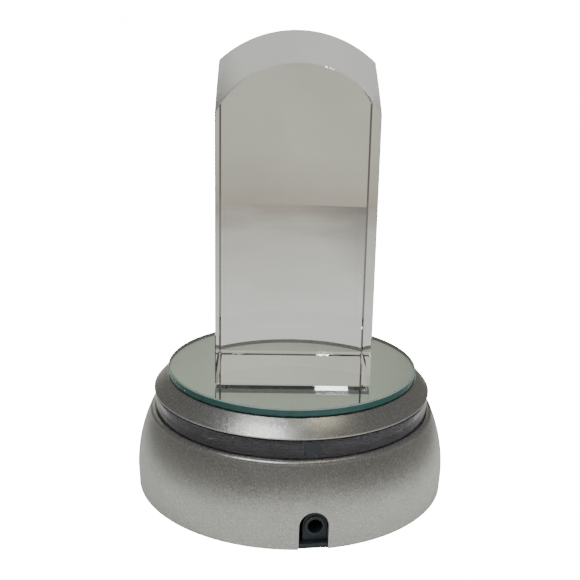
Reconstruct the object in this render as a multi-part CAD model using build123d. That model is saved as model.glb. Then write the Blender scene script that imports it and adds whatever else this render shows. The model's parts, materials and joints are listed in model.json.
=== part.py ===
from build123d import *
import math
import os

# Clear crystal block standing on a mirror-topped, lit, turning display base.
# Millimetres, +Z up. The origin is the centre of the base's footprint, on the surface it stands on.
# The base's power socket faces -Y. The block is turned a little on the mirror, as it was left.

# ---- driving dimensions -------------------------------------------------------------------
# crystal block
BLOCK_WIDTH = 60.0
BLOCK_DEPTH = 60.0
BLOCK_ARCH_CENTRE = 88.5        # height of the arch's centre above the mirror
FACE_ARCH_R = 34.0              # arch radius on the front and back faces
RIDGE_ARCH_R = 44.5             # arch radius along the ridge at mid depth
BLOCK_EDGE_CHAMFER = 0.4        # upright and arch edges
BLOCK_FOOT_CHAMFER = 1.0        # edges of the foot
BLOCK_TURN = -7.0               # degrees about Z
BLOCK_OFFSET_Y = 1.9            # stands a little off the turntable's centre

# heights above the floor
RIM_BOTTOM = 0.6                # lower edge of the painted shell, held up by the feet
COVER_BOTTOM = 1.0
COVER_TOP = 3.0
SHELF_BOTTOM = 30.0
SHELF_TOP = 32.0
DECK_TOP = 34.0
LIP_TOP = 33.8
BAND_TOP = 40.9
BAND_TONGUE_TOP = 43.4
CAP_BOTTOM = 41.2
CAP_PLATE_BOTTOM = 45.0
CAP_SHOULDER_Z = 45.0
CAP_TOP = 47.7
MIRROR_BOTTOM = 48.0
MIRROR_TOP = 51.0

# radii
MIRROR_R = 50.8
TAPE_R = 48.5
CAP_R = 56.6
CAP_SHOULDER_R = 54.0
CAP_EDGE_R = 51.4
CAP_SKIRT_INNER_R = 53.6
BAND_R = 56.3
BAND_INNER_R = 52.0
BAND_TONGUE_R = 52.9
BAND_TONGUE_INNER_R = 51.0
LIP_R = 58.5
LIP_WIDTH = 1.9                 # of the rounded shoulder that shows under the band
LIP_DROP = 1.5                  # fall of that shoulder to the shell's side
LIP_INNER_R = 56.5
SHELF_INNER_R = 46.0
SHELL_R = 63.7                  # widest, near the bottom
SHELL_WIDEST_Z = 8.5
SHELL_MID_R = 62.1
SHELL_MID_Z = 21.8
RIM_R = 63.4
RIM_INNER_R = 60.6
WALL = 2.4
COVER_R = 60.3
COVER_TONGUE_R = 62.6           # the cover reaches into the socket's notch
COVER_TONGUE_WIDTH = 10.6
DECK_R = 51.6

# fixings and feet
POST_CIRCLE_R = 48.75
POST_R = 3.5
POST_ANGLES = (45, 135, 225, 315)
PILOT_R = 1.3
SCREW_R = 1.25
SCREW_HEAD_R = 2.6
SCREW_HEAD_H = 1.6
FOOT_CIRCLE_R = 50.0
FOOT_R = 6.0
FOOT_SINK = 0.6
FOOT_ANGLES = (0, 90, 180, 270)
COVER_SCREW_SEAT = COVER_BOTTOM + SCREW_HEAD_H

# power socket, its notch in the shell, and its board
NOTCH_WIDTH = 11.0
NOTCH_TOP = 15.8
JACK_X = 0.8
JACK_FACE_Y = -60.6
JACK_WIDTH = 9.0
JACK_BOTTOM = 3.2
JACK_TOP = 14.2
JACK_LENGTH = 14.0
JACK_FLANGE = 2.5
JACK_SHOULDER_DROP = 1.2        # the body behind the flange is this much lower
JACK_COLLAR_R = 4.1             # round collar proud of the flange
JACK_COLLAR_RISE = 0.5
JACK_BORE_R = 2.8
JACK_BORE_DEPTH = 9.5
JACK_PIN_R = 1.05
JACK_PIN_SINK = 6.0             # from the flange's face to the pin's tip
JACK_AXIS_Z = JACK_TOP - JACK_WIDTH / 2 - 0.6
BOARD_THICK = 1.6
BOARD_BOTTOM = JACK_TOP - JACK_SHOULDER_DROP
BOARD_HALF_WIDTH = 18.0
BOARD_FRONT_Y = -53.0
BOARD_BACK_Y = -32.0
BOARD_POST_XS = (-14.0, 14.0)
BOARD_POST_Y = -40.0
BOARD_POST_R = 2.6

# leads: straight up to the light board, and across to the motor with one bend
LEAD_R = 0.6
LEAD_XS = (-2.5, 2.5)
LEAD_Y = -38.0
MOTOR_LEAD_SHIFT = -5.0
MOTOR_LEAD_Y = -34.0
MOTOR_LEAD_Z = 9.0
MOTOR_LEAD_BEND_R = 3.0

# lights
LED_ANGLES = {                  # degrees about Z from the socket, counter-clockwise from above
    "right_front": 30,
    "right_side": 90,
    "right_rear": 150,
    "left_rear": 210,
    "left_side": 270,
    "left_front": 330,
}
LED_R = 2.5
LED_FLANGE_R = 2.9
LED_TIP_R = 50.6                # distance of the dome's tip from the centre
LED_AXIS_Z = 38.6
LED_BARREL = 6.1
LED_BOARD_OUTER_R = 45.8
LED_BOARD_INNER_R = 34.0
KEY_WIDTH = 5.6
KEY_POST_THICK = 3.0
KEY_BOTTOM = 35.2
KEY_TOP = 40.1
KEY_LOWER_CORNER_R = 1.8
KEY_CLEARANCE = 0.05
CORE_WIDTH = 3.6                # square dark block cast inside each light
CORE_BACK_R = 43.4
CORE_FRONT_R = 48.2
CLIP_SPAN = 6.8                 # between the two upright wires of each light's clip
CLIP_R = 47.6
CLIP_WIRE_R = 0.4
CLIP_BAR_THICK = 0.5
CLIP_TOP = 40.2

# drive
SHAFT_R = 3.0
SHAFT_FLAT = 2.5
RUNNING_CLEARANCE = 0.05
SEAT_CLEARANCE = 0.02           # of a gear or hub on its shaft
GEARBOX_R = 18.5
GEARBOX_BOTTOM = 20.0
GEARBOX_WALL = 1.5
EAR_X = 27.5
EAR_R = 4.0
EAR_THICK = 2.0
SHAFT_TOP = 43.4
SHAFT_BOTTOM = GEARBOX_BOTTOM + GEARBOX_WALL + 0.3
SHAFT_FLAT_BOTTOM = 36.0
HUB_R = 6.5
HUB_BOTTOM = 37.5
HUB_FLANGE_R = 13.0
HUB_FLANGE_BOTTOM = 43.0
HUB_SCREW_CIRCLE_R = 9.8
HUB_SCREW_ANGLES = (90, 210, 330)
GEAR_MODULE = 0.5
TOOTH_RISE = 0.85               # of a module, above the pitch circle
TOOTH_FALL = 1.2                # of a module, below it
TOOTH_ROOT_SHARE = 0.31         # half width at the root, of a tooth's pitch
TOOTH_TIP_SHARE = 0.12          # half width at the tip
OUTPUT_TEETH = 30
PINION_TEETH = 10
GEAR_BOTTOM = 23.5
GEAR_THICK = 4.0
ARBOR_R = 1.0
MOTOR_R = 12.0
MOTOR_X = -5.0
MOTOR_BOTTOM = 4.8
GLIDE_INNER_R = 21.5
GLIDE_OUTER_R = 24.5
GLIDE_TOP = 44.9
GLIDE_BOTTOM = 44.0

# on-off switch under the base
SWITCH_X = 30.0
SWITCH_Y = 12.0
SWITCH_LENGTH = 12.0
SWITCH_WIDTH = 6.0
SLOT_LENGTH = 7.0
SLOT_WIDTH = 3.6
KNOB_LENGTH = 3.4
KNOB_WIDTH = 2.8
KNOB_TRAVEL = 3.0

OVERCUT = 1.0                   # cutters run past the face they cut by this much


# ---- helpers ------------------------------------------------------------------------------
def turned(points):
    """Solid of revolution about Z from (radius, height) points."""
    with BuildPart() as part:
        with BuildSketch(Plane.XZ):
            with BuildLine():
                Polyline(*points, close=True)
            make_face()
        revolve(axis=Axis.Z)
    return part.part


def disc(radius, bottom, top, x=0.0, y=0.0):
    cylinder = Cylinder(radius, top - bottom, align=(Align.CENTER, Align.CENTER, Align.MIN))
    return Pos(x, y, bottom) * cylinder


def ring(inner, outer, bottom, top):
    return disc(outer, bottom, top) - disc(inner, bottom - OVERCUT, top + OVERCUT)


def block(low, high):
    size = [h - l for l, h in zip(low, high)]
    box = Box(*size, align=(Align.MIN, Align.MIN, Align.MIN))
    return Pos(*low) * box


def on_circle(radius, degrees):
    angle = math.radians(degrees)
    return radius * math.cos(angle), radius * math.sin(angle)


def self_tapper(x, y, seat, tip, head_r=SCREW_HEAD_R):
    """Pan-head screw whose head sits on `seat` and whose shank ends at `tip`, with a cross recess."""
    up = 1 if seat > tip else -1
    shank = disc(SCREW_R, min(seat, tip), max(seat, tip), x, y)
    head_low = seat if up > 0 else seat - SCREW_HEAD_H
    head = disc(head_r, head_low, head_low + SCREW_HEAD_H, x, y)
    rim = head.edges().filter_by(GeomType.CIRCLE).sort_by(Axis.Z)[-1 if up > 0 else 0]
    head = fillet(rim, 0.6)
    recess_low = seat + SCREW_HEAD_H * 0.4 if up > 0 else seat - SCREW_HEAD_H - OVERCUT
    recess_high = seat + SCREW_HEAD_H + OVERCUT if up > 0 else seat - SCREW_HEAD_H * 0.4
    arm = head_r * 0.55
    slot = 0.32
    cross = block((x - arm, y - slot, recess_low), (x + arm, y + slot, recess_high))
    cross += block((x - slot, y - arm, recess_low), (x + slot, y + arm, recess_high))
    return shank + head - cross


def gear_blank(teeth, bore_r, bottom, thick, first_tooth):
    """Spur gear with straight-flanked teeth, thinned for backlash."""
    pitch_r = GEAR_MODULE * teeth / 2
    tip_r = pitch_r + TOOTH_RISE * GEAR_MODULE
    root_r = pitch_r - TOOTH_FALL * GEAR_MODULE
    step = 360 / teeth
    points = []
    for tooth in range(teeth):
        centre = first_tooth + tooth * step
        points.append(on_circle(root_r, centre - TOOTH_ROOT_SHARE * step))
        points.append(on_circle(tip_r, centre - TOOTH_TIP_SHARE * step))
        points.append(on_circle(tip_r, centre + TOOTH_TIP_SHARE * step))
        points.append(on_circle(root_r, centre + TOOTH_ROOT_SHARE * step))
    with BuildPart() as part:
        with BuildSketch(Plane.XY.offset(bottom)):
            with BuildLine():
                Polyline(*points, close=True)
            make_face()
            if bore_r:
                Circle(bore_r, mode=Mode.SUBTRACT)
        extrude(amount=thick)
    return part.part


def arch_plate(width, bottom, top, y_front, y_back, x=0.0):
    """Upright plate with a semicircular top, square to Y."""
    radius = width / 2
    spring = top - radius
    lower = block((x - radius, y_front, bottom), (x + radius, y_back, spring))
    roller = Cylinder(radius, y_back - y_front, rotation=(90, 0, 0))
    roller = Pos(x, (y_front + y_back) / 2, spring) * roller
    return lower + (roller & block((x - radius, y_front, spring), (x + radius, y_back, top)))


# ---- crystal ------------------------------------------------------------------------------
def crystal_block():
    """Square block whose top is a shallow roof: two cones about the arch's axis that meet at mid depth."""
    half = BLOCK_DEPTH / 2
    with BuildPart() as cones:
        with BuildSketch(Plane.XY):
            with BuildLine():
                Polyline(
                    (0, -half),
                    (FACE_ARCH_R, -half),
                    (RIDGE_ARCH_R, 0),
                    (FACE_ARCH_R, half),
                    (0, half),
                    close=True,
                )
            make_face()
        revolve(axis=Axis.Y)
    top = cones.part & block((-BLOCK_WIDTH / 2, -half, 0), (BLOCK_WIDTH / 2, half, RIDGE_ARCH_R + OVERCUT))
    trunk = block((-BLOCK_WIDTH / 2, -half, -BLOCK_ARCH_CENTRE), (BLOCK_WIDTH / 2, half, 0))
    body = trunk + top
    body = chamfer(body.edges().group_by(Axis.Z)[0], BLOCK_FOOT_CHAMFER)
    above_foot = 2 * BLOCK_FOOT_CHAMFER - BLOCK_ARCH_CENTRE
    body = chamfer([edge for edge in body.edges() if edge.center().Z > above_foot], BLOCK_EDGE_CHAMFER)
    return Pos(0, BLOCK_OFFSET_Y, MIRROR_TOP + BLOCK_ARCH_CENTRE) * Rot(0, 0, BLOCK_TURN) * body


# ---- turning top --------------------------------------------------------------------------
def mirror_disc():
    glass = disc(MIRROR_R, MIRROR_BOTTOM, MIRROR_TOP)
    return chamfer(glass.edges().filter_by(GeomType.CIRCLE), 0.35)


def mirror_tape():
    return ring(SHAFT_R + 3, TAPE_R, CAP_TOP, MIRROR_BOTTOM)


def turntable_cap():
    """Silver moulding: flat plate, convex collar and a skirt over the light band's tongue."""
    skirt_round = 0.4
    top_edge_r = CAP_EDGE_R - 0.2
    side_top = CAP_BOTTOM + 2 * skirt_round
    with BuildPart() as part:
        with BuildSketch(Plane.XZ):
            with BuildLine():
                Line((0, CAP_PLATE_BOTTOM), (0, CAP_TOP))
                Line((0, CAP_TOP), (top_edge_r, CAP_TOP))
                ThreePointArc((top_edge_r, CAP_TOP), (CAP_SHOULDER_R, CAP_SHOULDER_Z), (CAP_R, side_top))
                Line((CAP_R, side_top), (CAP_R, CAP_BOTTOM + skirt_round))
                Line((CAP_R, CAP_BOTTOM + skirt_round), (CAP_R - skirt_round, CAP_BOTTOM))
                Line((CAP_R - skirt_round, CAP_BOTTOM), (CAP_SKIRT_INNER_R, CAP_BOTTOM))
                Line((CAP_SKIRT_INNER_R, CAP_BOTTOM), (CAP_SKIRT_INNER_R, BAND_TONGUE_TOP + 0.3))
                Line((CAP_SKIRT_INNER_R, BAND_TONGUE_TOP + 0.3), (CAP_EDGE_R - 1.6, CAP_PLATE_BOTTOM))
                Line((CAP_EDGE_R - 1.6, CAP_PLATE_BOTTOM), (0, CAP_PLATE_BOTTOM))
            make_face()
        revolve(axis=Axis.Z)
    cap = part.part
    for angle in HUB_SCREW_ANGLES:
        x, y = on_circle(HUB_SCREW_CIRCLE_R, angle)
        cap -= disc(PILOT_R, CAP_PLATE_BOTTOM - OVERCUT, CAP_TOP - 0.5, x, y)
    return cap


def shaft_outline(radius, bottom, top):
    """Round shaft with one flat, as the hub's bore has."""
    shaft = disc(radius, bottom, top)
    flat = radius - (SHAFT_R - SHAFT_FLAT)
    return shaft - block((flat, -radius, bottom - OVERCUT), (radius + OVERCUT, radius, top + OVERCUT))


def drive_hub():
    hub = disc(HUB_R, HUB_BOTTOM, HUB_FLANGE_BOTTOM)
    hub += disc(HUB_FLANGE_R, HUB_FLANGE_BOTTOM, CAP_PLATE_BOTTOM)
    hub -= shaft_outline(SHAFT_R + SEAT_CLEARANCE, HUB_BOTTOM - OVERCUT, SHAFT_TOP + 0.2)
    for angle in HUB_SCREW_ANGLES:
        x, y = on_circle(HUB_SCREW_CIRCLE_R, angle)
        hub -= disc(PILOT_R + 0.3, HUB_FLANGE_BOTTOM - OVERCUT, CAP_PLATE_BOTTOM + OVERCUT, x, y)
    return hub


def hub_screws():
    screws = []
    for angle in HUB_SCREW_ANGLES:
        x, y = on_circle(HUB_SCREW_CIRCLE_R, angle)
        screws.append(self_tapper(x, y, HUB_FLANGE_BOTTOM, CAP_TOP - 0.8, head_r=2.4))
    return Compound(children=screws)


def output_shaft():
    round_part = disc(SHAFT_R, SHAFT_BOTTOM, SHAFT_FLAT_BOTTOM)
    return round_part + shaft_outline(SHAFT_R, SHAFT_FLAT_BOTTOM, SHAFT_TOP)


def output_gear():
    return gear_blank(OUTPUT_TEETH, SHAFT_R + SEAT_CLEARANCE, GEAR_BOTTOM, GEAR_THICK, first_tooth=0)


# ---- light band and lights ----------------------------------------------------------------
def light_band():
    """Smoked clear ring with a window for the key; its tongue reaches up inside the turning skirt."""
    band = turned(
        [
            (BAND_INNER_R, SHELF_TOP),
            (BAND_R, SHELF_TOP),
            (BAND_R, BAND_TOP),
            (BAND_TONGUE_R, BAND_TOP),
            (BAND_TONGUE_R, BAND_TONGUE_TOP),
            (BAND_TONGUE_INNER_R, BAND_TONGUE_TOP),
            (BAND_TONGUE_INNER_R, BAND_TOP - 1.2),
            (BAND_INNER_R, BAND_TOP - 2.2),
        ]
    )
    return band - band_key_face(KEY_CLEARANCE)


def led_board():
    """Ring-shaped board with a hole under each light's legs."""
    board = ring(LED_BOARD_INNER_R, LED_BOARD_OUTER_R, DECK_TOP, DECK_TOP + BOARD_THICK)
    for x in LEAD_XS:
        board -= disc(LEAD_R + 0.05, DECK_TOP - OVERCUT, DECK_TOP + BOARD_THICK + OVERCUT, x, LEAD_Y)
    return board


def side_led(degrees):
    """Domed lamp lying on its side and looking outward, with two legs bent down to the board."""
    base_r = LED_TIP_R - LED_R - LED_BARREL
    barrel = Cylinder(LED_R, LED_BARREL, align=(Align.CENTER, Align.CENTER, Align.MIN))
    dome = Pos(0, 0, LED_BARREL) * Sphere(LED_R)
    flange = Cylinder(LED_FLANGE_R, 1.0, align=(Align.CENTER, Align.CENTER, Align.MIN))
    lamp = Rot(90, 0, 0) * (barrel + dome + flange)
    lamp = Pos(0, -base_r, LED_AXIS_Z) * lamp - core_block(SEAT_CLEARANCE)
    leg_out = 1.6
    leg_half = 0.25
    for x in (-1.27, 1.27):
        lamp += block(
            (x - leg_half, -base_r - 0.1, LED_AXIS_Z - leg_half),
            (x + leg_half, -base_r + leg_out, LED_AXIS_Z + leg_half),
        )
        lamp += block(
            (x - leg_half, -base_r + leg_out - 2 * leg_half, DECK_TOP + BOARD_THICK),
            (x + leg_half, -base_r + leg_out, LED_AXIS_Z + leg_half),
        )
    return Rot(0, 0, degrees) * lamp


def band_key_face(extra=0.0):
    """The key's front part, which fills a round-cornered window in the band, grown by `extra` to cut it."""
    half = KEY_WIDTH / 2 + extra
    face = block(
        (-half, -BAND_R - OVERCUT, KEY_BOTTOM - extra),
        (half, -BAND_TONGUE_INNER_R + OVERCUT / 2, KEY_TOP + extra),
    )
    lower = face.edges().filter_by(Axis.Y).group_by(Axis.Z)[0]
    return fillet(lower, KEY_LOWER_CORNER_R + extra)


def band_key():
    """Dark key set in the band's wall over the socket, on a post that stands on the deck."""
    face = band_key_face() & disc(BAND_R - KEY_CLEARANCE, KEY_BOTTOM, KEY_TOP)
    post_front = -(DECK_R - 0.2)
    post = block(
        (-KEY_WIDTH / 2, post_front, DECK_TOP),
        (KEY_WIDTH / 2, post_front + KEY_POST_THICK, KEY_TOP),
    )
    return face + post


def core_block(extra=0.0):
    """The dark block inside a light that points to -Y, grown by `extra` to cut its hollow."""
    half = CORE_WIDTH / 2 + extra
    return block(
        (-half, -CORE_FRONT_R - extra, LED_AXIS_Z - half),
        (half, -CORE_BACK_R + extra, LED_AXIS_Z + half),
    )


def lamp_core(degrees):
    return Rot(0, 0, degrees) * core_block()


def lamp_clip(degrees):
    """Bright wire clip: a bar on the deck under the light and one upright wire at each side."""
    half = CLIP_SPAN / 2
    clip = block(
        (-half, -CLIP_R - CLIP_WIRE_R, DECK_TOP),
        (half, -CLIP_R + CLIP_WIRE_R, DECK_TOP + CLIP_BAR_THICK),
    )
    for x in (-half, half):
        clip += disc(CLIP_WIRE_R, DECK_TOP, CLIP_TOP, x, -CLIP_R)
        clip += Pos(x, -CLIP_R, CLIP_TOP) * Sphere(CLIP_WIRE_R)
    return Rot(0, 0, degrees) * clip


# ---- fixed inner parts --------------------------------------------------------------------
def inner_deck():
    """Dark plate that closes the lower shell, carries the drive, the lights and the glide ring's wall."""
    deck = disc(DECK_R, SHELF_TOP, DECK_TOP)
    deck += ring(GLIDE_INNER_R + 0.4, GLIDE_OUTER_R - 0.4, DECK_TOP, GLIDE_BOTTOM)
    deck -= disc(8.0, SHELF_TOP - OVERCUT, DECK_TOP + OVERCUT)
    for angle in POST_ANGLES:
        x, y = on_circle(POST_CIRCLE_R, angle)
        deck -= disc(SCREW_R + 0.3, SHELF_TOP - OVERCUT, DECK_TOP + OVERCUT, x, y)
    for x in (-EAR_X, EAR_X):
        deck -= disc(SCREW_R + 0.3, SHELF_TOP - OVERCUT, DECK_TOP + OVERCUT, x, 0)
    for x in LEAD_XS:
        deck -= disc(LEAD_R + 0.6, SHELF_TOP - OVERCUT, DECK_TOP + OVERCUT, x, LEAD_Y)
    return deck


def glide_ring():
    return ring(GLIDE_INNER_R, GLIDE_OUTER_R, GLIDE_BOTTOM, GLIDE_TOP)


def gearbox_case():
    """Round case with a cavity for the last gear pair, a shaft bush and two ears under the deck."""
    case = disc(GEARBOX_R, GEARBOX_BOTTOM, SHELF_TOP)
    bar = block((-EAR_X, -EAR_R, SHELF_TOP - EAR_THICK), (EAR_X, EAR_R, SHELF_TOP))
    case += bar
    for x in (-EAR_X, EAR_X):
        case += disc(EAR_R, SHELF_TOP - EAR_THICK, SHELF_TOP, x, 0)
    cavity_low = GEARBOX_BOTTOM + GEARBOX_WALL
    cavity_high = SHELF_TOP - GEARBOX_WALL
    case -= disc(GEARBOX_R - GEARBOX_WALL, cavity_low, cavity_high)
    case -= disc(SHAFT_R + RUNNING_CLEARANCE, cavity_high - OVERCUT, SHELF_TOP + OVERCUT)
    for x in (-EAR_X, EAR_X):
        case -= disc(PILOT_R, SHELF_TOP - EAR_THICK - OVERCUT, SHELF_TOP + OVERCUT, x, 0)
    return case


def gear_centre_distance():
    return GEAR_MODULE * (OUTPUT_TEETH + PINION_TEETH) / 2


def stage_arbor():
    """Fixed pin that the pinion turns on, held between the case's two walls."""
    low = GEARBOX_BOTTOM + GEARBOX_WALL
    return disc(ARBOR_R, low, SHELF_TOP - GEARBOX_WALL, gear_centre_distance(), 0)


def stage_pinion():
    """Small gear in mesh with the output gear; a tooth gap faces the output gear's tooth."""
    step = 360 / PINION_TEETH
    pinion = gear_blank(
        PINION_TEETH,
        ARBOR_R + RUNNING_CLEARANCE,
        GEAR_BOTTOM - 0.5,
        GEAR_THICK + 1.0,
        first_tooth=180 + step / 2,
    )
    return Pos(gear_centre_distance(), 0, 0) * pinion


def motor_can():
    """Flat round motor under the gearbox, with a raised bearing boss."""
    can = disc(MOTOR_R, MOTOR_BOTTOM + 0.8, GEARBOX_BOTTOM, MOTOR_X)
    can = fillet(can.edges().filter_by(GeomType.CIRCLE).sort_by(Axis.Z)[0], 1.0)
    can += disc(3.5, MOTOR_BOTTOM, MOTOR_BOTTOM + 0.9, MOTOR_X)
    return can


def motor_screws():
    screws = []
    for x in (-EAR_X, EAR_X):
        screws.append(self_tapper(x, 0, DECK_TOP, SHELF_TOP - EAR_THICK - 2.0))
    return Compound(children=screws)


def deck_screws():
    screws = []
    for angle in POST_ANGLES:
        x, y = on_circle(POST_CIRCLE_R, angle)
        screws.append(self_tapper(x, y, DECK_TOP, SHELF_TOP - 8.0))
    return Compound(children=screws)


# ---- lower shell --------------------------------------------------------------------------
def lower_housing():
    """Domed silver shell with the lip under the band, an inner shelf, four posts and the socket notch."""
    lip_low = LIP_TOP - LIP_DROP
    lip_top_r = LIP_R - LIP_WIDTH
    with BuildPart() as part:
        with BuildSketch(Plane.XZ):
            with BuildLine():
                Line((RIM_INNER_R, RIM_BOTTOM), (RIM_R - 0.4, RIM_BOTTOM))
                Line((RIM_R - 0.4, RIM_BOTTOM), (RIM_R, RIM_BOTTOM + 0.4))
                Line((RIM_R, RIM_BOTTOM + 0.4), (SHELL_R, SHELL_WIDEST_Z))
                ThreePointArc((SHELL_R, SHELL_WIDEST_Z), (SHELL_MID_R, SHELL_MID_Z), (LIP_R, lip_low))
                ThreePointArc(
                    (LIP_R, lip_low),
                    (LIP_R - 0.3 * LIP_WIDTH, LIP_TOP - 0.3 * LIP_DROP),
                    (lip_top_r, LIP_TOP),
                )
                Line((lip_top_r, LIP_TOP), (LIP_INNER_R, LIP_TOP))
                Line((LIP_INNER_R, LIP_TOP), (LIP_INNER_R, SHELF_TOP))
                Line((LIP_INNER_R, SHELF_TOP), (SHELF_INNER_R, SHELF_TOP))
                Line((SHELF_INNER_R, SHELF_TOP), (SHELF_INNER_R, SHELF_BOTTOM))
                Line((SHELF_INNER_R, SHELF_BOTTOM), (LIP_R - WALL, SHELF_BOTTOM))
                ThreePointArc(
                    (LIP_R - WALL, SHELF_BOTTOM),
                    (SHELL_MID_R - WALL - 0.6, SHELL_MID_Z - 2.4),
                    (SHELL_R - WALL, SHELL_WIDEST_Z),
                )
                Line((SHELL_R - WALL, SHELL_WIDEST_Z), (RIM_INNER_R, SHELL_WIDEST_Z - 3.0))
                Line((RIM_INNER_R, SHELL_WIDEST_Z - 3.0), (RIM_INNER_R, RIM_BOTTOM))
            make_face()
        revolve(axis=Axis.Z)
    shell = part.part
    for angle in POST_ANGLES:
        x, y = on_circle(POST_CIRCLE_R, angle)
        shell += disc(POST_R, COVER_TOP, SHELF_BOTTOM + 0.5, x, y)
        shell -= disc(PILOT_R, SHELF_TOP - 9.0, SHELF_TOP + OVERCUT, x, y)
        shell -= disc(PILOT_R, COVER_TOP - OVERCUT, COVER_TOP + 9.0, x, y)
    shell -= arch_plate(NOTCH_WIDTH, RIM_BOTTOM - OVERCUT, NOTCH_TOP, -SHELL_R - OVERCUT, -RIM_INNER_R + 4.0)
    return shell


def bottom_cover():
    """Flat black cover: seats for the feet, screw wells, a switch slot, board posts and a notch tongue."""
    cover = disc(COVER_R, COVER_BOTTOM, COVER_TOP)
    for angle in FOOT_ANGLES:
        x, y = on_circle(FOOT_CIRCLE_R, angle)
        cover -= disc(FOOT_R + 0.1, COVER_BOTTOM - OVERCUT, COVER_BOTTOM + FOOT_SINK, x, y)
    for angle in POST_ANGLES:
        x, y = on_circle(POST_CIRCLE_R, angle)
        cover -= disc(SCREW_HEAD_R + 0.3, COVER_BOTTOM - OVERCUT, COVER_SCREW_SEAT, x, y)
        cover -= disc(SCREW_R + 0.3, COVER_BOTTOM - OVERCUT, COVER_TOP + OVERCUT, x, y)
    for x in BOARD_POST_XS:
        post = disc(BOARD_POST_R, COVER_TOP - 0.5, BOARD_BOTTOM, x, BOARD_POST_Y)
        cover += post - disc(PILOT_R, BOARD_BOTTOM - 7.0, BOARD_BOTTOM + OVERCUT, x, BOARD_POST_Y)
    cover += block(
        (-COVER_TONGUE_WIDTH / 2, -COVER_TONGUE_R, COVER_BOTTOM),
        (COVER_TONGUE_WIDTH / 2, -COVER_R + OVERCUT, COVER_TOP),
    )
    cover -= block(
        (SWITCH_X - SLOT_LENGTH / 2, SWITCH_Y - SLOT_WIDTH / 2, COVER_BOTTOM - OVERCUT),
        (SWITCH_X + SLOT_LENGTH / 2, SWITCH_Y + SLOT_WIDTH / 2, COVER_TOP + OVERCUT),
    )
    return cover


def cover_screws():
    screws = []
    for angle in POST_ANGLES:
        x, y = on_circle(POST_CIRCLE_R, angle)
        screws.append(self_tapper(x, y, COVER_SCREW_SEAT, COVER_TOP + 8.0))
    return Compound(children=screws)


def rubber_foot(degrees):
    x, y = on_circle(FOOT_CIRCLE_R, degrees)
    foot = disc(FOOT_R, 0, COVER_BOTTOM + FOOT_SINK, x, y)
    return fillet(foot.edges().filter_by(GeomType.CIRCLE).sort_by(Axis.Z)[0], 0.4)


# ---- power socket and its board -----------------------------------------------------------
def jack_body():
    """Barrel socket: arched front flange and a square body behind it."""
    back = JACK_FACE_Y + JACK_LENGTH
    half = JACK_WIDTH / 2
    body = arch_plate(JACK_WIDTH, JACK_BOTTOM, JACK_TOP, JACK_FACE_Y, JACK_FACE_Y + JACK_FLANGE, JACK_X)
    body += block(
        (JACK_X - half, JACK_FACE_Y + JACK_FLANGE, JACK_BOTTOM),
        (JACK_X + half, back, JACK_TOP - JACK_SHOULDER_DROP),
    )
    collar = Cylinder(JACK_COLLAR_R, 2 * JACK_COLLAR_RISE, rotation=(90, 0, 0))
    collar = fillet(collar.edges().filter_by(GeomType.CIRCLE).sort_by(Axis.Y)[0], JACK_COLLAR_RISE / 2)
    body += Pos(JACK_X, JACK_FACE_Y, JACK_AXIS_Z) * collar
    bore = Cylinder(JACK_BORE_R, JACK_BORE_DEPTH + OVERCUT, rotation=(90, 0, 0))
    body -= Pos(JACK_X, JACK_FACE_Y - OVERCUT + (JACK_BORE_DEPTH + OVERCUT) / 2, JACK_AXIS_Z) * bore
    slot = block(
        (JACK_X - 1.6, JACK_FACE_Y + JACK_FLANGE + 1.5, JACK_BOTTOM - OVERCUT),
        (JACK_X + 1.6, JACK_FACE_Y + JACK_BORE_DEPTH - 1.0, JACK_AXIS_Z - JACK_BORE_R + 0.3),
    )
    return body - slot


def jack_pin():
    """Centre contact of the socket, with a rounded tip."""
    length = JACK_BORE_DEPTH - JACK_PIN_SINK
    pin = Cylinder(JACK_PIN_R, length, rotation=(90, 0, 0))
    pin = fillet(pin.edges().filter_by(GeomType.CIRCLE).sort_by(Axis.Y)[0], 0.6)
    return Pos(JACK_X, JACK_FACE_Y + JACK_BORE_DEPTH - length / 2, JACK_AXIS_Z) * pin


def jack_contact():
    """Flat outer contact that shows through the slot under the bore."""
    return block(
        (JACK_X - 1.4, JACK_FACE_Y + JACK_FLANGE + 1.7, JACK_AXIS_Z - JACK_BORE_R - 0.3),
        (JACK_X + 1.4, JACK_FACE_Y + JACK_BORE_DEPTH - 1.2, JACK_AXIS_Z - JACK_BORE_R),
    )


def power_board():
    """Small board that carries the socket and feeds the lights and the motor."""
    top = BOARD_BOTTOM + BOARD_THICK
    board = block((-BOARD_HALF_WIDTH, BOARD_FRONT_Y, BOARD_BOTTOM), (BOARD_HALF_WIDTH, BOARD_BACK_Y, top))
    board = fillet(board.edges().filter_by(Axis.Z), 2.0)
    for x in BOARD_POST_XS:
        board -= disc(SCREW_R + 0.3, BOARD_BOTTOM - OVERCUT, top + OVERCUT, x, BOARD_POST_Y)
    return board


def board_screws():
    screws = []
    for x in BOARD_POST_XS:
        screws.append(self_tapper(x, BOARD_POST_Y, BOARD_BOTTOM + BOARD_THICK, BOARD_BOTTOM - 6.0))
    return Compound(children=screws)


def led_lead(x):
    return disc(LEAD_R, BOARD_BOTTOM + BOARD_THICK, DECK_TOP + BOARD_THICK, x, LEAD_Y)


def motor_lead(x):
    """Down from the power board, one bend, then straight to the motor's side."""
    top = BOARD_BOTTOM
    reach = MOTOR_R - 0.15
    end_y = -math.sqrt(reach ** 2 - (x - MOTOR_X) ** 2) - 2 * LEAD_R
    with BuildPart() as part:
        with BuildLine():
            FilletPolyline(
                (x, MOTOR_LEAD_Y, top),
                (x, MOTOR_LEAD_Y, MOTOR_LEAD_Z),
                (x, end_y, MOTOR_LEAD_Z),
                radius=MOTOR_LEAD_BEND_R,
            )
        with BuildSketch(Plane(origin=(x, MOTOR_LEAD_Y, top), z_dir=(0, 0, -1))):
            Circle(LEAD_R)
        sweep()
    return part.part


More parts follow.
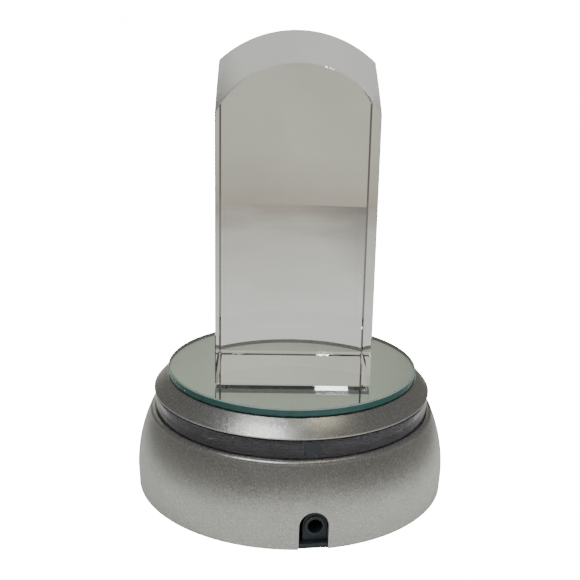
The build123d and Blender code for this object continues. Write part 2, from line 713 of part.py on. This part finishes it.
# ---- switch -------------------------------------------------------------------------------
def switch_body():
    """Metal-shelled slide switch that sits on the cover over its slot."""
    half_l = SWITCH_LENGTH / 2
    half_w = SWITCH_WIDTH / 2
    body = block(
        (SWITCH_X - half_l, SWITCH_Y - half_w, COVER_TOP),
        (SWITCH_X + half_l, SWITCH_Y + half_w, COVER_TOP + 5.5),
    )
    well = block(
        (SWITCH_X - SLOT_LENGTH / 2, SWITCH_Y - KNOB_WIDTH / 2 - 0.2, COVER_TOP - OVERCUT),
        (SWITCH_X + SLOT_LENGTH / 2, SWITCH_Y + KNOB_WIDTH / 2 + 0.2, COVER_TOP + 2.5),
    )
    body -= well
    for x in (-3.5, 0.0, 3.5):
        body += block(
            (SWITCH_X + x - 0.4, SWITCH_Y - 0.8, COVER_TOP + 5.4),
            (SWITCH_X + x + 0.4, SWITCH_Y + 0.8, COVER_TOP + 8.5),
        )
    return body


def switch_knob():
    """Slider at its off end; it moves KNOB_TRAVEL towards +X."""
    start = SWITCH_X - KNOB_TRAVEL / 2 - KNOB_LENGTH / 2
    knob = block(
        (start, SWITCH_Y - KNOB_WIDTH / 2, COVER_BOTTOM - 0.5),
        (start + KNOB_LENGTH, SWITCH_Y + KNOB_WIDTH / 2, COVER_TOP + 2.2),
    )
    for groove in (-0.9, 0.0, 0.9):
        centre = start + KNOB_LENGTH / 2 + groove
        knob -= block(
            (centre - 0.2, SWITCH_Y - KNOB_WIDTH, COVER_BOTTOM - 0.5 - OVERCUT),
            (centre + 0.2, SWITCH_Y + KNOB_WIDTH, COVER_BOTTOM - 0.2),
        )
    return knob


# ---- assembly -----------------------------------------------------------------------------
def all_nodes():
    nodes = {
        "crystal_block": crystal_block(),
        "mirror_disc": mirror_disc(),
        "mirror_tape": mirror_tape(),
        "turntable_cap": turntable_cap(),
        "drive_hub": drive_hub(),
        "hub_screws": hub_screws(),
        "output_shaft": output_shaft(),
        "output_gear": output_gear(),
        "stage_pinion": stage_pinion(),
        "stage_arbor": stage_arbor(),
        "gearbox_case": gearbox_case(),
        "motor_can": motor_can(),
        "motor_screws": motor_screws(),
        "glide_ring": glide_ring(),
        "inner_deck": inner_deck(),
        "deck_screws": deck_screws(),
        "light_band": light_band(),
        "band_key": band_key(),
        "led_board": led_board(),
        "lower_housing": lower_housing(),
        "bottom_cover": bottom_cover(),
        "cover_screws": cover_screws(),
        "jack_body": jack_body(),
        "jack_pin": jack_pin(),
        "jack_contact": jack_contact(),
        "power_board": power_board(),
        "board_screws": board_screws(),
        "switch_body": switch_body(),
        "switch_knob": switch_knob(),
    }
    for name, degrees in LED_ANGLES.items():
        nodes["led_" + name] = side_led(degrees)
        nodes["lamp_core_" + name] = lamp_core(degrees)
        nodes["lamp_clip_" + name] = lamp_clip(degrees)
    for name, degrees in zip(("right", "rear", "left", "front"), FOOT_ANGLES):
        nodes["foot_" + name] = rubber_foot(degrees)
    for colour, x in zip(("black", "red"), LEAD_XS):
        nodes["led_lead_" + colour] = led_lead(x)
        nodes["motor_lead_" + colour] = motor_lead(x + MOTOR_LEAD_SHIFT)
    return nodes


os.makedirs("parts", exist_ok=True)
for node, shape in all_nodes().items():
    export_step(shape, "parts/" + node + ".step")
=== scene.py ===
import json
import math

import bmesh
import bpy
from mathutils import Matrix, Vector


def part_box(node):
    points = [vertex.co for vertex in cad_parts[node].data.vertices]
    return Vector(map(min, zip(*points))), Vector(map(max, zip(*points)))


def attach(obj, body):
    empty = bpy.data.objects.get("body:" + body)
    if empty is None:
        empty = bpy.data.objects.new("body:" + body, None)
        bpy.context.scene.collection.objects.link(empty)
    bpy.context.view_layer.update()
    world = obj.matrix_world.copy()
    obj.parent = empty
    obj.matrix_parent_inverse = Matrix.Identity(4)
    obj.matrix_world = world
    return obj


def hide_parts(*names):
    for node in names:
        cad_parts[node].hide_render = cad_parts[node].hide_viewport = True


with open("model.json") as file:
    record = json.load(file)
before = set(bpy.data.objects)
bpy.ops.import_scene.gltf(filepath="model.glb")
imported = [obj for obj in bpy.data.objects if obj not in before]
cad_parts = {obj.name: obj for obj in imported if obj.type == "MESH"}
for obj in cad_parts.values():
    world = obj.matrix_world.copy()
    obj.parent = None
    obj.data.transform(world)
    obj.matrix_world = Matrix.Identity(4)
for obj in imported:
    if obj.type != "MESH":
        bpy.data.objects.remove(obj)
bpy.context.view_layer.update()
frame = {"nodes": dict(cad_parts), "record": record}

MM = 0.001

# ---- places read from the frame ------------------------------------------------------------
mirror_low, mirror_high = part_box("mirror_disc")
MIRROR_TOP_Z = mirror_high.z
MIRROR_R = mirror_high.x

# ---- camera --------------------------------------------------------------------------------
CAMERA_TURN = math.radians(-8.5)    # from the socket's side, -Y, towards -X
CAMERA_REACH = 381.4 * MM           # along the floor from the mirror's centre
CAMERA_RISE = 140.2 * MM            # above the mirror
CAMERA_PITCH = math.radians(16.01)  # looks down
CAMERA_YAW = -0.0036                # radians; below zero it looks further to the left
CAMERA_ROLL = 0.0205                # radians; above zero its right side is higher
CAMERA_LENS = 60.7
SENSOR_WIDTH = 36.0

# ---- materials' sizes ----------------------------------------------------------------------
BLOCK_TURN_BACK = math.radians(7.0)  # the crystal stands turned by this much the other way
CHAMFER_LEAN = 0.72                  # how far a chamfer's normal leans along one axis
CHAMFER_LEAN_ALLOWANCE = 0.2
CHAMFER_WAVE = 0.15 * MM             # height of the uneven polish
FLAKES_PER_METRE = 4200.0
FLAKE_TILT = 0.14
GRAIN_DEPTH = 0.08 * MM

# ---- mirror's glass and silvering -----------------------------------------------------------
AIR_FILM = 0.04 * MM                 # left between the mirror and the crystal
ARRIS = 0.35 * MM
EDGE_DEPTH = 0.6 * MM                # width of the teal ring round the clear disc
SILVERING_RISE = 0.06 * MM
SILVERING_THICK = 0.04 * MM
SILVERING_INSET = 0.05 * MM

# ---- studio --------------------------------------------------------------------------------
FLOOR_HALF = 6.0
FLOOR_GLOW = 20.0                    # plain white backdrop, for rays straight from the camera
SHADE_FROM = 0.09                    # painted shade darkens the paper towards the sides between these
SHADE_TO = 0.18
WALL_RADIUS = 0.62
WALL_HEIGHT = 1.2
WALL_STEPS = 96
PALE_WALL_FROM = 0.86 * WALL_RADIUS  # the wall turns from dark to pale between these Y
PALE_WALL_TO = 0.95 * WALL_RADIUS
AIM = (0, 0, 0.05)                   # where the lamps point


# ---- node helpers --------------------------------------------------------------------------
def new_material(name):
    material = bpy.data.materials.new(name)
    material.use_nodes = True
    nodes = material.node_tree.nodes
    return material, nodes, material.node_tree.links, nodes["Principled BSDF"]


def set_inputs(node, **values):
    for key, value in values.items():
        node.inputs[key.replace("_", " ")].default_value = value


def object_coords(nodes):
    return nodes.new("ShaderNodeTexCoord").outputs["Object"]


def math_node(nodes, links, operation, first, second=None):
    """Math node's value; `second` is a socket or a number."""
    node = nodes.new("ShaderNodeMath")
    node.operation = operation
    links.new(first, node.inputs[0])
    if isinstance(second, (int, float)):
        node.inputs[1].default_value = second
    elif second is not None:
        links.new(second, node.inputs[1])
    return node.outputs["Value"]


def vector_node(nodes, links, operation, first, second=None):
    """Vector Math node; `second` is a socket or None."""
    node = nodes.new("ShaderNodeVectorMath")
    node.operation = operation
    links.new(first, node.inputs[0])
    if second is not None:
        links.new(second, node.inputs[1])
    return node


def mix_colours(nodes, links, factor, first, second, blend="MIX"):
    """Mixed colour; `factor` is a socket or a number, `second` a socket or a colour."""
    node = nodes.new("ShaderNodeMix")
    node.data_type = "RGBA"
    node.blend_type = blend
    if isinstance(factor, float):
        node.inputs["Factor"].default_value = factor
    else:
        links.new(factor, node.inputs["Factor"])
    links.new(first, node.inputs["A"])
    if isinstance(second, tuple):
        node.inputs["B"].default_value = (*second, 1.0)
    else:
        links.new(second, node.inputs["B"])
    return node.outputs["Result"]


def split_axes(nodes, links, vector):
    node = nodes.new("ShaderNodeSeparateXYZ")
    links.new(vector, node.inputs["Vector"])
    return node.outputs


def true_normal(nodes):
    return nodes.new("ShaderNodeNewGeometry").outputs["True Normal"]


def noise(nodes, links, scale, detail=4.0, roughness=0.5):
    texture = nodes.new("ShaderNodeTexNoise")
    set_inputs(texture, Scale=scale, Detail=detail, Roughness=roughness)
    links.new(object_coords(nodes), texture.inputs["Vector"])
    return texture.outputs["Fac"]


def ramp(nodes, links, source, stops):
    """Colour ramp whose stops are (position, (r, g, b))."""
    node = nodes.new("ShaderNodeValToRGB")
    elements = node.color_ramp.elements
    while len(elements) < len(stops):
        elements.new(0.5)
    for element, (position, colour) in zip(elements, stops):
        element.position = position
        element.color = (*colour, 1.0)
    links.new(source, node.inputs["Fac"])
    return node.outputs["Color"]


def spread(nodes, links, source, low, high, from_low=0.3, from_high=0.7):
    """Maps `source` between from_low and from_high onto low to high, clamped."""
    node = nodes.new("ShaderNodeMapRange")
    node.inputs["From Min"].default_value = from_low
    node.inputs["From Max"].default_value = from_high
    node.inputs["To Min"].default_value = low
    node.inputs["To Max"].default_value = high
    links.new(source, node.inputs["Value"])
    return node.outputs["Result"]


def uneven_colour(nodes, links, scale, dark, light):
    """Noise between two colours."""
    return ramp(nodes, links, noise(nodes, links, scale), [(0.3, dark), (0.7, light)])


def bump(nodes, links, height, strength, distance):
    node = nodes.new("ShaderNodeBump")
    set_inputs(node, Strength=strength, Distance=distance)
    links.new(height, node.inputs["Height"])
    return node.outputs["Normal"]


# ---- materials -----------------------------------------------------------------------------
def silver_flake():
    """Silver paint: fine metal flakes that tilt and vary, under a thin clear coat."""
    material, nodes, links, shader = new_material("silver_flake_paint")
    flakes = nodes.new("ShaderNodeTexVoronoi")
    set_inputs(flakes, Scale=FLAKES_PER_METRE)
    links.new(object_coords(nodes), flakes.inputs["Vector"])
    split = nodes.new("ShaderNodeSeparateColor")
    links.new(flakes.outputs["Color"], split.inputs["Color"])
    colour = ramp(
        nodes,
        links,
        split.outputs["Red"],
        [(0.0, (0.51, 0.52, 0.505)), (0.75, (0.61, 0.62, 0.60)), (1.0, (0.88, 0.88, 0.85))],
    )
    links.new(colour, shader.inputs["Base Color"])
    centred = vector_node(nodes, links, "SUBTRACT", flakes.outputs["Color"])
    centred.inputs[1].default_value = (0.5, 0.5, 0.5)
    tilt = vector_node(nodes, links, "SCALE", centred.outputs["Vector"])
    tilt.inputs["Scale"].default_value = FLAKE_TILT
    normal = nodes.new("ShaderNodeNewGeometry").outputs["Normal"]
    lean = vector_node(nodes, links, "ADD", normal, tilt.outputs["Vector"])
    unit = vector_node(nodes, links, "NORMALIZE", lean.outputs["Vector"])
    links.new(unit.outputs["Vector"], shader.inputs["Normal"])
    links.new(spread(nodes, links, noise(nodes, links, 60.0), 0.29, 0.35), shader.inputs["Roughness"])
    set_inputs(shader, Metallic=0.92, Coat_Weight=0.2, Coat_Roughness=0.1)
    return material


def clear_glass(name, ior, colour):
    """Polished glass, with a trace of uneven polish."""
    material, nodes, links, shader = new_material(name)
    set_inputs(shader, Base_Color=(*colour, 1.0), IOR=ior, Transmission_Weight=1.0)
    links.new(spread(nodes, links, noise(nodes, links, 25.0), 0.0, 0.004), shader.inputs["Roughness"])
    return material


def chamfer_mask(nodes, links):
    """1 on the crystal's chamfers and 0 on its broad faces, and how far each leans up or down."""
    turned = nodes.new("ShaderNodeVectorRotate")
    turned.rotation_type = "Z_AXIS"
    turned.inputs["Angle"].default_value = BLOCK_TURN_BACK
    links.new(true_normal(nodes), turned.inputs["Vector"])
    axes = split_axes(nodes, links, turned.outputs["Vector"])
    masks = {}
    for axis in ("Y", "Z"):
        size = math_node(nodes, links, "ABSOLUTE", axes[axis])
        near = nodes.new("ShaderNodeMath")
        near.operation = "COMPARE"
        near.inputs[1].default_value = CHAMFER_LEAN
        near.inputs[2].default_value = CHAMFER_LEAN_ALLOWANCE
        links.new(size, near.inputs[0])
        masks[axis] = near.outputs["Value"]
    below = math_node(nodes, links, "LESS_THAN", axes["Z"], 0.0)
    foot = math_node(nodes, links, "MULTIPLY", masks["Z"], below)
    either = math_node(nodes, links, "MAXIMUM", masks["Y"], foot)
    lean = math_node(nodes, links, "ABSOLUTE", axes["Z"])
    return either, spread(nodes, links, lean, 0.08, 1.0, 0.05, 0.3)


def crystal_material():
    """Optical glass: flat polished faces, and chamfers with the uneven polish that makes them glint."""
    material, nodes, links, shader = new_material("crystal_glass")
    set_inputs(shader, Base_Color=(1.0, 1.0, 1.0, 1.0), IOR=1.52, Transmission_Weight=1.0)
    mask, leaning = chamfer_mask(nodes, links)
    links.new(spread(nodes, links, mask, 0.0, 0.04, 0.0, 1.0), shader.inputs["Roughness"])
    waves = noise(nodes, links, 260.0, detail=2.0)
    wavy = nodes.new("ShaderNodeBump")
    wavy.inputs["Distance"].default_value = CHAMFER_WAVE
    links.new(waves, wavy.inputs["Height"])
    links.new(math_node(nodes, links, "MULTIPLY", mask, leaning), wavy.inputs["Strength"])
    links.new(wavy.outputs["Normal"], shader.inputs["Normal"])
    return material


def mirror_edge_material():
    """Edge of float glass: deep teal on its polished side, paler on the faces that turn upwards, the upper
    arris and rim.
    """
    material, nodes, links, shader = new_material("mirror_edge")
    slope = split_axes(nodes, links, true_normal(nodes))["Z"]
    teal = ramp(
        nodes,
        links,
        slope,
        [
            (0.0, (0.020, 0.098, 0.092)),
            (0.3, (0.028, 0.115, 0.108)),
            (0.6, (0.30, 0.42, 0.39)),
            (1.0, (0.20, 0.30, 0.27)),
        ],
    )
    streaks = uneven_colour(nodes, links, 240.0, (0.75, 0.78, 0.78), (1.0, 1.0, 1.0))
    colour = mix_colours(nodes, links, 1.0, teal, streaks, blend="MULTIPLY")
    links.new(colour, shader.inputs["Base Color"])
    links.new(spread(nodes, links, slope, 0.12, 0.4, 0.3, 0.6), shader.inputs["Roughness"])
    return material


def silvering_material():
    """Mirror coating on the underside of the glass."""
    material, nodes, links, shader = new_material("mirror_silvering")
    colour = uneven_colour(nodes, links, 18.0, (0.62, 0.66, 0.63), (0.66, 0.70, 0.67))
    links.new(colour, shader.inputs["Base Color"])
    set_inputs(shader, Metallic=1.0, Roughness=0.02)
    return material


def smoked_material():
    """Smoked acrylic, clear enough to show dark and bright things behind it."""
    material, nodes, links, shader = new_material("smoked_acrylic")
    colour = uneven_colour(nodes, links, 40.0, (0.46, 0.45, 0.55), (0.52, 0.51, 0.61))
    links.new(colour, shader.inputs["Base Color"])
    links.new(spread(nodes, links, noise(nodes, links, 90.0), 0.008, 0.02), shader.inputs["Roughness"])
    set_inputs(shader, IOR=1.49, Transmission_Weight=0.96)
    return material


def moulded(name, dark, light, roughness, grain=900.0, depth=0.25):
    """Moulded plastic or rubber with a fine spark-eroded grain."""
    material, nodes, links, shader = new_material(name)
    colour = uneven_colour(nodes, links, 120.0, dark, light)
    links.new(colour, shader.inputs["Base Color"])
    low, high = roughness
    links.new(spread(nodes, links, noise(nodes, links, 300.0), low, high), shader.inputs["Roughness"])
    grain_height = noise(nodes, links, grain, detail=2.0)
    links.new(bump(nodes, links, grain_height, depth, GRAIN_DEPTH), shader.inputs["Normal"])
    return material


def metal(name, dark, light, roughness, scale=400.0):
    """Plain metal with slightly uneven colour and polish."""
    material, nodes, links, shader = new_material(name)
    colour = uneven_colour(nodes, links, scale, dark, light)
    links.new(colour, shader.inputs["Base Color"])
    low, high = roughness
    links.new(spread(nodes, links, noise(nodes, links, scale * 2), low, high), shader.inputs["Roughness"])
    set_inputs(shader, Metallic=1.0)
    return material


def board_material():
    """Green solder mask in slightly different rectangles, with darker lines between."""
    material, nodes, links, shader = new_material("solder_mask")
    cells = nodes.new("ShaderNodeTexBrick")
    set_inputs(cells, Scale=160.0, Mortar_Size=0.03)
    cells.inputs["Color1"].default_value = (0.010, 0.075, 0.035, 1.0)
    cells.inputs["Color2"].default_value = (0.016, 0.110, 0.050, 1.0)
    cells.inputs["Mortar"].default_value = (0.006, 0.045, 0.022, 1.0)
    links.new(object_coords(nodes), cells.inputs["Vector"])
    links.new(cells.outputs["Color"], shader.inputs["Base Color"])
    links.new(spread(nodes, links, noise(nodes, links, 200.0), 0.25, 0.4), shader.inputs["Roughness"])
    return material


def make_materials():
    return {
        "silver_paint": silver_flake(),
        "crystal_glass": crystal_material(),
        "mirror_glass": clear_glass("float_glass", 1.52, (0.93, 0.985, 0.965)),
        "smoked_acrylic": smoked_material(),
        "led_epoxy": clear_glass("lamp_epoxy", 1.5, (0.97, 0.98, 1.0)),
        "foam_tape": moulded("foam_tape", (0.015, 0.015, 0.015), (0.03, 0.03, 0.03), (0.85, 0.95)),
        "white_acetal": moulded("white_acetal", (0.72, 0.72, 0.68), (0.8, 0.8, 0.77), (0.4, 0.5)),
        "grey_nylon": moulded("grey_nylon", (0.10, 0.105, 0.11), (0.14, 0.145, 0.15), (0.45, 0.6)),
        "black_plastic": moulded("black_plastic", (0.014, 0.024, 0.030), (0.022, 0.034, 0.042), (0.3, 0.42)),
        "foot_rubber": moulded(
            "foot_rubber", (0.012, 0.012, 0.012), (0.025, 0.025, 0.025), (0.75, 0.9), grain=500.0
        ),
        "wire_black": moulded("wire_black", (0.01, 0.01, 0.01), (0.02, 0.02, 0.02), (0.4, 0.5)),
        "wire_red": moulded("wire_red", (0.35, 0.01, 0.01), (0.45, 0.015, 0.012), (0.4, 0.5)),
        "zinc_steel": metal("zinc_steel", (0.50, 0.51, 0.52), (0.62, 0.63, 0.65), (0.28, 0.4)),
        "motor_steel": metal("motor_steel", (0.42, 0.42, 0.43), (0.52, 0.52, 0.53), (0.3, 0.42)),
        "nickel_contact": metal("nickel_contact", (0.62, 0.60, 0.55), (0.72, 0.70, 0.65), (0.15, 0.22)),
        "brass_contact": metal("brass_contact", (0.60, 0.42, 0.18), (0.70, 0.52, 0.24), (0.25, 0.35)),
        "board_green": board_material(),
    }


def give_materials(materials):
    """Each CAD object gets the material that its record's slot names."""
    slot_of = {}
    for part in frame["record"]["subparts"]:
        slot_of[part["node"]] = part["material_slot"]
    for name, node in frame["nodes"].items():
        node.data.materials.clear()
        node.data.materials.append(materials[slot_of[name]])


# ---- mesh helpers --------------------------------------------------------------------------
def link_mesh(name, mesh, material):
    piece = bpy.data.objects.new(name, mesh)
    bpy.context.scene.collection.objects.link(piece)
    piece.data.materials.append(material)
    return piece


def lathe(name, profile, material, steps=256, smooth_angle=30.0):
    """Solid of revolution about Z from a closed (radius, height) profile."""
    mesh = bpy.data.meshes.new(name)
    work = bmesh.new()
    rings = []
    for radius, height in profile:
        if radius < 1e-6:
            rings.append([work.verts.new((0, 0, height))])
            continue
        ring = []
        for step in range(steps):
            angle = 2 * math.pi * step / steps
            ring.append(work.verts.new((radius * math.cos(angle), radius * math.sin(angle), height)))
        rings.append(ring)
    for index, ring in enumerate(rings):
        above = rings[(index + 1) % len(rings)]
        if len(ring) == 1 and len(above) == 1:
            continue
        for step in range(steps):
            after = (step + 1) % steps
            if len(ring) == 1:
                work.faces.new((ring[0], above[after], above[step]))
            elif len(above) == 1:
                work.faces.new((ring[step], ring[after], above[0]))
            else:
                work.faces.new((ring[step], ring[after], above[after], above[step]))
    bmesh.ops.recalc_face_normals(work, faces=work.faces)
    work.to_mesh(mesh)
    work.free()
    piece = link_mesh(name, mesh, material)
    soften(piece, smooth_angle)
    return piece


def soften(piece, degrees):
    """Smooth shading that keeps edges sharper than `degrees`."""
    work = bmesh.new()
    work.from_mesh(piece.data)
    limit = math.radians(degrees)
    for face in work.faces:
        face.smooth = True
    for edge in work.edges:
        sharp = len(edge.link_faces) != 2 or edge.calc_face_angle(0.0) > limit
        edge.smooth = not sharp
    work.to_mesh(piece.data)
    work.free()


# ---- mirror --------------------------------------------------------------------------------
def make_mirror(materials):
    """Clear glass disc with a silvered layer low inside it and a teal edge ring round it."""
    top = MIRROR_TOP_Z - AIR_FILM
    low = mirror_low.z
    inner = MIRROR_R - EDGE_DEPTH
    disc = [(0, low), (inner, low), (inner, top), (0, top)]
    glass = lathe("mirror_glass", disc, materials["mirror_glass"])
    edge = lathe(
        "mirror_edge",
        [
            (inner, low),
            (MIRROR_R - ARRIS, low),
            (MIRROR_R, low + ARRIS),
            (MIRROR_R, top - ARRIS),
            (MIRROR_R - ARRIS, top),
            (inner, top),
        ],
        mirror_edge_material(),
    )
    silver_low = low + SILVERING_RISE
    silver_high = silver_low + SILVERING_THICK
    silver_r = inner - SILVERING_INSET
    silver = lathe(
        "mirror_silvering",
        [(0, silver_low), (silver_r, silver_low), (silver_r, silver_high), (0, silver_high)],
        silvering_material(),
    )
    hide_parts("mirror_disc")
    for piece in (glass, edge, silver):
        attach(piece, "turntable")


# ---- stage ---------------------------------------------------------------------------------
def camera_only_glow(nodes, links, surface, strength):
    """Adds plain light to `surface`, only where the camera looks straight at it."""
    path = nodes.new("ShaderNodeLightPath")
    glow = nodes.new("ShaderNodeEmission")
    set_inputs(glow, Color=(1.0, 1.0, 1.0, 1.0))
    only_camera = math_node(nodes, links, "MULTIPLY", path.outputs["Is Camera Ray"], strength)
    links.new(only_camera, glow.inputs["Strength"])
    add = nodes.new("ShaderNodeAddShader")
    links.new(surface, add.inputs[0])
    links.new(glow.outputs["Emission"], add.inputs[1])
    return add.outputs["Shader"]


def make_floor():
    """White paper with painted shade, darker and browner away from the object and darker towards the sides,
    as glass and gloss see it.
    """
    mesh = bpy.data.meshes.new("floor")
    corners = [(x * FLOOR_HALF, y * FLOOR_HALF, 0) for x, y in ((-1, -1), (1, -1), (1, 1), (-1, 1))]
    mesh.from_pydata(corners, [], [(0, 1, 2, 3)])
    material, nodes, links, shader = new_material("floor_paper")
    reach = vector_node(nodes, links, "LENGTH", object_coords(nodes)).outputs["Value"]
    shade_wobble = spread(nodes, links, noise(nodes, links, 9.0, detail=6.0), -0.09, 0.09)
    # Painted shade: the paper's colour darkens and browns with distance from the object, its edge wobbled by
    # noise.
    colour = ramp(
        nodes,
        links,
        math_node(nodes, links, "ADD", reach, shade_wobble),
        [
            (0.24, (0.80, 0.80, 0.77)),
            (0.34, (0.74, 0.74, 0.70)),
            (0.48, (0.66, 0.65, 0.59)),
            (0.60, (0.50, 0.46, 0.40)),
        ],
    )
    # Painted shade: the paper turns dark grey towards the sides.
    aside = math_node(nodes, links, "ABSOLUTE", split_axes(nodes, links, object_coords(nodes))["X"])
    shading = spread(nodes, links, aside, 0.0, 1.0, SHADE_FROM, SHADE_TO)
    shaded = mix_colours(nodes, links, shading, colour, (0.20, 0.197, 0.188))
    links.new(shaded, shader.inputs["Base Color"])
    set_inputs(shader, Roughness=0.9)
    lit = camera_only_glow(nodes, links, shader.outputs["BSDF"], FLOOR_GLOW)
    links.new(lit, nodes["Material Output"].inputs["Surface"])
    link_mesh("floor", mesh, material)


def wall_colour(nodes, links, height, stops):
    """Colour ramp up the wall, whose stops are (height in metres, colour)."""
    level = spread(nodes, links, height, 0.0, 1.0, 0.0, WALL_HEIGHT)
    return ramp(nodes, links, level, [(place / WALL_HEIGHT, colour) for place, colour in stops])


def make_wall():
    """Round dim room that only glass and gloss see: pale behind the object and dark elsewhere."""
    mesh = bpy.data.meshes.new("room_wall")
    points = []
    for height in (0.0, WALL_HEIGHT):
        for step in range(WALL_STEPS):
            angle = 2 * math.pi * step / WALL_STEPS
            points.append((WALL_RADIUS * math.cos(angle), WALL_RADIUS * math.sin(angle), height))
    faces = [tuple(range(WALL_STEPS, 2 * WALL_STEPS))]
    for step in range(WALL_STEPS):
        after = (step + 1) % WALL_STEPS
        faces.append((step, after, after + WALL_STEPS, step + WALL_STEPS))
    mesh.from_pydata(points, [], faces)
    material = bpy.data.materials.new("room_wall")
    material.use_nodes = True
    nodes = material.node_tree.nodes
    links = material.node_tree.links
    nodes.remove(nodes["Principled BSDF"])
    glow = nodes.new("ShaderNodeEmission")
    place = split_axes(nodes, links, object_coords(nodes))
    behind = wall_colour(
        nodes,
        links,
        place["Z"],
        [
            (0.0, (0.46, 0.41, 0.34)),
            (0.02, (0.52, 0.50, 0.42)),
            (0.06, (0.56, 0.56, 0.47)),
            (0.36, (0.55, 0.56, 0.48)),
            (0.48, (0.24, 0.24, 0.22)),
            (0.70, (0.09, 0.09, 0.09)),
            (1.20, (0.07, 0.07, 0.07)),
        ],
    )
    before = wall_colour(
        nodes,
        links,
        place["Z"],
        [
            (0.0, (0.15, 0.135, 0.12)),
            (0.10, (0.12, 0.11, 0.10)),
            (0.30, (0.10, 0.095, 0.09)),
            (0.60, (0.08, 0.08, 0.08)),
            (1.20, (0.07, 0.07, 0.07)),
        ],
    )
    paleness = spread(nodes, links, place["Y"], 0.0, 1.0, PALE_WALL_FROM, PALE_WALL_TO)
    links.new(mix_colours(nodes, links, paleness, before, behind), glow.inputs["Color"])
    links.new(spread(nodes, links, noise(nodes, links, 7.0), 0.88, 1.12), glow.inputs["Strength"])
    links.new(glow.outputs["Emission"], nodes["Material Output"].inputs["Surface"])
    wall = link_mesh("room_wall", mesh, material)
    wall.visible_camera = False
    wall.visible_diffuse = False
    wall.visible_shadow = False


def make_world():
    """Even pale room light; the camera itself sees white past the floor."""
    world = bpy.data.worlds.new("studio")
    bpy.context.scene.world = world
    world.use_nodes = True
    nodes = world.node_tree.nodes
    links = world.node_tree.links
    path = nodes.new("ShaderNodeLightPath")
    room = nodes["Background"]
    set_inputs(room, Color=(1.0, 1.0, 0.98, 1.0), Strength=0.62)
    white = nodes.new("ShaderNodeBackground")
    set_inputs(white, Color=(1.0, 1.0, 1.0, 1.0), Strength=16.0)
    mix = nodes.new("ShaderNodeMixShader")
    links.new(path.outputs["Is Camera Ray"], mix.inputs["Fac"])
    links.new(room.outputs["Background"], mix.inputs[1])
    links.new(white.outputs["Background"], mix.inputs[2])
    links.new(mix.outputs["Shader"], nodes["World Output"].inputs["Surface"])


def area_light(name, place, size, power, target=AIM, colour=(1.0, 1.0, 1.0), in_reflections=True):
    data = bpy.data.lights.new(name, "AREA")
    data.shape = "RECTANGLE"
    data.size, data.size_y = size
    data.energy = power
    data.color = colour
    light = bpy.data.objects.new(name, data)
    light.visible_glossy = in_reflections
    bpy.context.scene.collection.objects.link(light)
    light.location = place
    direction = Vector(target) - Vector(place)
    light.rotation_euler = direction.to_track_quat("-Z", "Y").to_euler()


def make_lights():
    area_light("key", (-0.26, -0.36, 0.60), (0.30, 0.16), 1.1)
    area_light("right", (0.45, -0.275, 0.46), (0.05, 0.18), 1.1, target=(0, 0, 0.16), in_reflections=False)
    area_light("front_top", (0.24, -0.30, 0.85), (0.08, 0.05), 0.40, colour=(1.0, 0.90, 0.66))
    area_light("back", (0.1, 0.5, 0.9), (0.5, 0.2), 0.95)


def make_camera():
    data = bpy.data.cameras.new("camera")
    data.sensor_width = SENSOR_WIDTH
    data.lens = CAMERA_LENS
    data.clip_start = 0.01
    camera = bpy.data.objects.new("camera", data)
    bpy.context.scene.collection.objects.link(camera)
    forward = Vector(
        (
            math.sin(CAMERA_YAW) * math.cos(CAMERA_PITCH),
            math.cos(CAMERA_YAW) * math.cos(CAMERA_PITCH),
            -math.sin(CAMERA_PITCH),
        )
    )
    right = forward.cross(Vector((0, 0, 1))).normalized()
    up = right.cross(forward)
    tilted_right = math.cos(CAMERA_ROLL) * right + math.sin(CAMERA_ROLL) * up
    tilted_up = math.cos(CAMERA_ROLL) * up - math.sin(CAMERA_ROLL) * right
    look = Matrix((tilted_right, tilted_up, -forward)).transposed().to_4x4()
    turn = Matrix.Rotation(CAMERA_TURN, 4, "Z")
    place = Matrix.Translation((0, -CAMERA_REACH, MIRROR_TOP_Z + CAMERA_RISE))
    camera.matrix_world = turn @ place @ look
    bpy.context.scene.camera = camera


# ---- build ---------------------------------------------------------------------------------
make_camera()
materials = make_materials()
give_materials(materials)
make_mirror(materials)
make_floor()
make_wall()
make_world()
make_lights()
